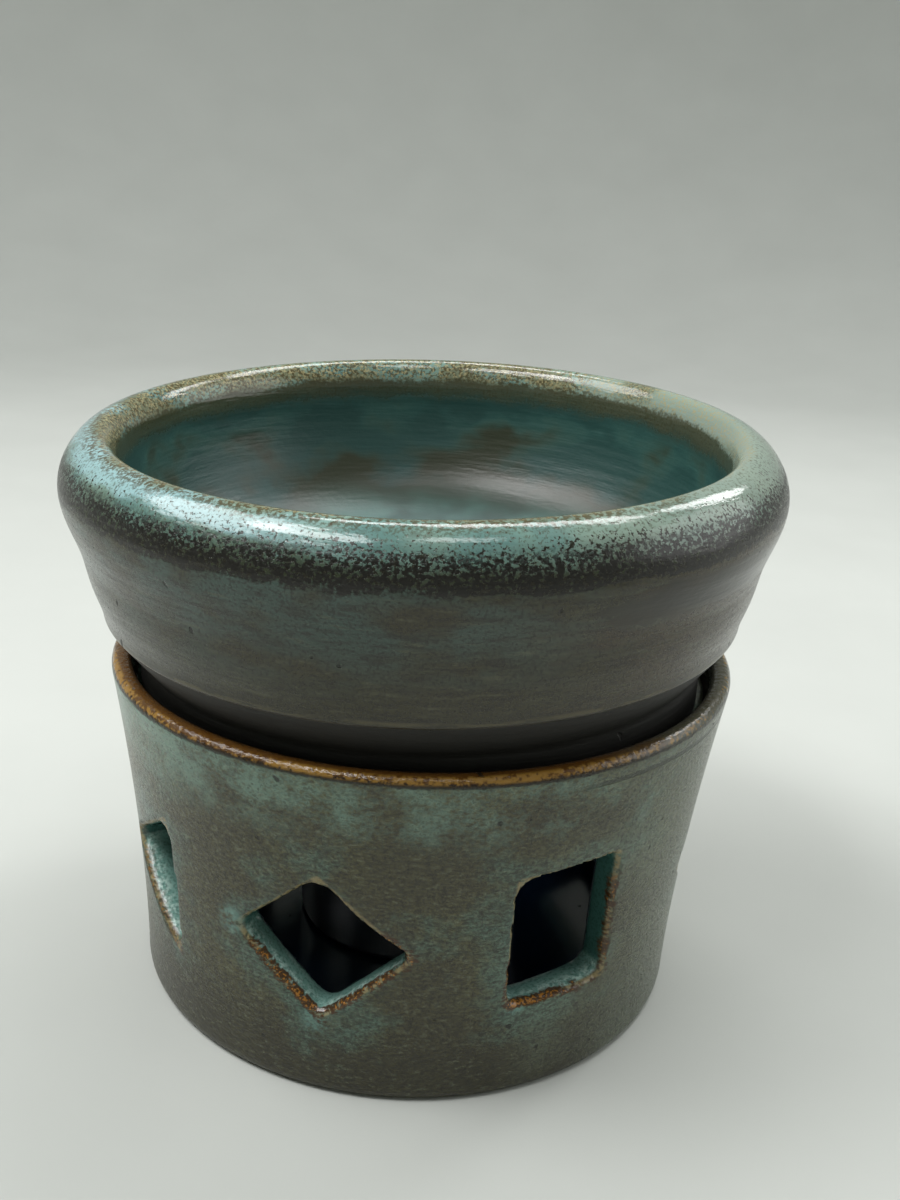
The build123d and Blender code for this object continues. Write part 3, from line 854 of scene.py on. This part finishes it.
def braidTree():
    # strands wound both ways round a path, each passing over and under those that cross it
    tree = bpy.data.node_groups.new("braidAlongPath", "GeometryNodeTree")
    nameSockets(tree, {
        "Path": "Object", "Strands": "Int", "Turns": "Float", "Ring Radius": "Float",
        "Weave": "Float", "Strand Radius": "Float", "Sides": "Int", "Yarn": "Material"}, "Braid")
    given = addNode(tree, "NodeGroupInput").outputs
    path = addNode(tree, "GeometryNodeObjectInfo", inputs={"Object": given["Path"]}).outputs["Geometry"]
    copies = addNode(tree, "GeometryNodeDuplicateElements", {"domain": "SPLINE"}, {
        "Geometry": path, "Amount": given["Strands"]}).outputs
    index = copies["Duplicate Index"]
    odd = addNode(tree, "ShaderNodeMath", {"operation": "MODULO"}, {0: index, 1: 2.0}).outputs[0]
    way = addNode(tree, "ShaderNodeMath", {"operation": "MULTIPLY_ADD"}, {
        0: odd, 1: -2.0, 2: 1.0}).outputs[0]
    start = addNode(tree, "ShaderNodeMath", {"operation": "DIVIDE"}, {
        0: index, 1: given["Strands"]}).outputs[0]
    along = addNode(tree, "GeometryNodeSplineParameter").outputs["Factor"]
    wound = addNode(tree, "ShaderNodeMath", {"operation": "MULTIPLY"}, {
        0: along, 1: given["Turns"]}).outputs[0]
    spin = addNode(tree, "ShaderNodeMath", {"operation": "MULTIPLY_ADD"}, {
        0: wound, 1: way, 2: start}).outputs[0]
    turn = addNode(tree, "ShaderNodeMath", {"operation": "MULTIPLY"}, {0: spin, 1: math.tau}).outputs[0]
    pace = addNode(tree, "ShaderNodeMath", {"operation": "MULTIPLY"}, {
        0: given["Strands"], 1: math.pi}).outputs[0]
    wave = addNode(tree, "ShaderNodeMath", {"operation": "MULTIPLY"}, {0: wound, 1: pace}).outputs[0]
    rise = addNode(tree, "ShaderNodeMath", {"operation": "SINE"}, {0: wave}).outputs[0]
    swing = addNode(tree, "ShaderNodeMath", {"operation": "MULTIPLY"}, {0: rise, 1: way}).outputs[0]
    reach = addNode(tree, "ShaderNodeMath", {"operation": "MULTIPLY_ADD"}, {
        0: swing, 1: given["Weave"], 2: given["Ring Radius"]}).outputs[0]
    normal = addNode(tree, "GeometryNodeInputNormal").outputs[0]
    tangent = addNode(tree, "GeometryNodeInputTangent").outputs[0]
    arm = addNode(tree, "ShaderNodeVectorMath", {"operation": "SCALE"}, {
        0: normal, "Scale": reach}).outputs[0]
    offset = addNode(tree, "ShaderNodeVectorRotate", {"rotation_type": "AXIS_ANGLE"}, {
        "Vector": arm, "Axis": tangent, "Angle": turn}).outputs[0]
    strands = addNode(tree, "GeometryNodeSetPosition", inputs={
        "Geometry": copies["Geometry"], "Offset": offset}).outputs[0]
    ring = addNode(tree, "GeometryNodeCurvePrimitiveCircle", inputs={
        "Resolution": given["Sides"], "Radius": given["Strand Radius"]}).outputs["Curve"]
    body = addNode(tree, "GeometryNodeCurveToMesh", inputs={
        "Curve": strands, "Profile Curve": ring, "Fill Caps": True}).outputs[0]
    real = addNode(tree, "GeometryNodeRealizeInstances", inputs={"Geometry": body}).outputs[0]
    painted = addNode(tree, "GeometryNodeSetMaterial", inputs={
        "Geometry": real, "Material": given["Yarn"]}).outputs[0]
    addNode(tree, "NodeGroupOutput", inputs={"Braid": painted})
    return tree


def makeWick(form, material):
    # upright out of the wax, then over to the tip
    foot, bend, (tipOut, tipLevel) = form["foot"], form["bend"], form["tip"]
    places = [(0, z) for z in np.arange(foot, bend, form["spacing"])]
    for share in np.linspace(0, 1, form["bendPlaces"]):
        places.append((tipOut * share * share, bend + (tipLevel - bend) * share))
    curve = bpy.data.curves.new("wickPath", "CURVE")
    curve.dimensions = "3D"
    spline = curve.splines.new("POLY")
    spline.points.add(len(places) - 1)
    for point, (x, z) in zip(spline.points, places):
        point.co = (x * mm, 0, z * mm, 1)
    drawn = addObject("wickPath", curve)
    wick = addObject("wickBraided", bpy.data.meshes.new("wickBraided"))
    growWith(wick, braidTree(), {
        "Path": drawn, "Strands": form["strands"], "Turns": form["turns"],
        "Ring Radius": form["ringRadius"] * mm, "Weave": form["weave"] * mm,
        "Strand Radius": form["strandRadius"] * mm, "Sides": form["sides"], "Yarn": material})
    bpy.data.objects.remove(drawn)
    pointOutwards(wick.data)
    return wick


for nodeName, surface in tealightSurfaces.items():
    material = paintSurface(surface)
    if nodeName == "wick":
        piece = makeWick(wickBraid, material)
        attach(piece, "tealight")
        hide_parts("wick")
        print("wick", len(piece.data.vertices), "points")
    else:
        piece = nodes[nodeName]
        piece.data.materials.clear()
        piece.data.materials.append(material)
print("tealight", len(tealightSurfaces), "surfaces")


# camera, light and floor

# the photograph's own place, angles and lens, in mm and degrees
view = {
    "place": (0.0, -197.353, 133.297), "pitch": 19.893, "yaw": 1.218, "roll": 3.365,
    "lens": 39.0, "sensor": 36.0, "nearest": 10.0,
}


def addCamera(settings):
    pitch, yaw, roll = (math.radians(settings[k]) for k in ("pitch", "yaw", "roll"))
    ahead = Vector((math.sin(yaw) * math.cos(pitch), math.cos(yaw) * math.cos(pitch), -math.sin(pitch)))
    right = Vector((math.cos(yaw), -math.sin(yaw), 0))
    up = right.cross(ahead)
    turnedRight = right * math.cos(roll) + up * math.sin(roll)
    turnedUp = up * math.cos(roll) - right * math.sin(roll)
    data = bpy.data.cameras.new("camera")
    data.lens, data.sensor_width, data.sensor_fit = settings["lens"], settings["sensor"], "AUTO"
    data.clip_start = settings["nearest"] * mm
    camera = bpy.data.objects.new("camera", data)
    turn = Matrix((turnedRight, turnedUp, -ahead)).transposed().to_4x4()
    camera.matrix_world = Matrix.Translation(Vector(settings["place"]) * mm) @ turn
    scene.collection.objects.link(camera)
    scene.camera = camera


addCamera(view)

# big soft lamps: turn round the burner from the front and rise in degrees, sizes in mm, power in watts
lamps = {
    "leftSoftbox": {"turn": -95, "rise": 50, "distance": 640, "size": (460, 370), "power": 2.3},
    "frontTopSoftbox": {"turn": -58, "rise": 61, "distance": 640, "size": (360, 200), "power": 1.9},
    "backStrip": {"turn": 158, "rise": 63, "distance": 640, "size": (620, 150), "power": 2.0},
    "backRightStrip": {"turn": 130, "rise": 39, "distance": 660, "size": (150, 260), "power": 0.8},
    "frontHighStrip": {"turn": 16, "rise": 71, "distance": 640, "size": (200, 110), "power": 0.35},
    "rightFill": {"turn": 92, "rise": 24, "distance": 680, "size": (640, 520), "power": 1.35},
}
lampAim = (0, 0, 70)  # mm, where the bowl's wall begins to swell


def addLamps(table):
    aim = Vector(lampAim) * mm
    for name, lamp in table.items():
        light = bpy.data.lights.new(name, "AREA")
        light.shape = "ELLIPSE"
        light.size, light.size_y = lamp["size"][0] * mm, lamp["size"][1] * mm
        light.energy = lamp["power"]
        turn, rise = math.radians(lamp["turn"]), math.radians(lamp["rise"])
        way = Vector((math.sin(turn) * math.cos(rise), -math.cos(turn) * math.cos(rise), math.sin(rise)))
        lampObject = bpy.data.objects.new(name, light)
        place = aim + way * lamp["distance"] * mm
        lampObject.matrix_world = Matrix.LocRotScale(place, way.to_track_quat("Z", "Y"), None)
        scene.collection.objects.link(lampObject)


addLamps(lamps)
print("lamps", len(lamps))

# matt background paper with the faint clouding of its pulp, in the even light of a pale room
stage = {
    "paper": "#c4c7c2", "clouding": "#bbbeb9", "cloudSize": 45.0, "cloudDetail": 4.0, "roughness": 0.85,
    "ambient": "#e4e9ea", "ambientStrength": 0.32,
    "bendAt": 560.0, "bendRadius": 420.0, "bendSteps": 24, "top": 1400.0, "turns": 96,
}


def addWorld(settings):
    world = bpy.data.worlds.new("softRoom")
    scene.world = world
    world.use_nodes = True
    tree = world.node_tree
    tree.nodes.clear()
    ambient = addNode(tree, "ShaderNodeBackground", inputs={
        "Color": linear(settings["ambient"]), "Strength": settings["ambientStrength"]}).outputs[0]
    addNode(tree, "ShaderNodeOutputWorld", inputs={"Surface": ambient})


def addSweep(settings):
    # the paper lies flat and then sweeps up on every side
    bend, radius, steps = settings["bendAt"], settings["bendRadius"], settings["bendSteps"]
    section = [(0, 0), (bend, 0)]
    for i in range(1, steps + 1):
        turn = math.radians(90 * i / steps)
        section.append((bend + radius * math.sin(turn), radius - radius * math.cos(turn)))
    section.append((bend + radius, settings["top"]))
    material = bpy.data.materials.new("mattBackgroundPaper")
    material.use_nodes = True
    tree = material.node_tree
    place = addNode(tree, "ShaderNodeTexCoord").outputs["Object"]
    cloud = addNode(tree, "ShaderNodeTexNoise", inputs={
        "Vector": place, "Scale": 1 / (settings["cloudSize"] * mm),
        "Detail": settings["cloudDetail"]}).outputs["Fac"]
    colour = addNode(tree, "ShaderNodeMix", {"data_type": "RGBA"}, {
        0: cloud, 6: linear(settings["clouding"]), 7: linear(settings["paper"])}).outputs[2]
    shader = tree.nodes["Principled BSDF"]
    shader.inputs["Roughness"].default_value = settings["roughness"]
    tree.links.new(colour, shader.inputs["Base Color"])
    turnedPiece("backgroundPaper", section, settings["turns"], material)


addWorld(stage)
addSweep(stage)
print("background paper and room light")
scene.view_settings.view_transform = "Standard"
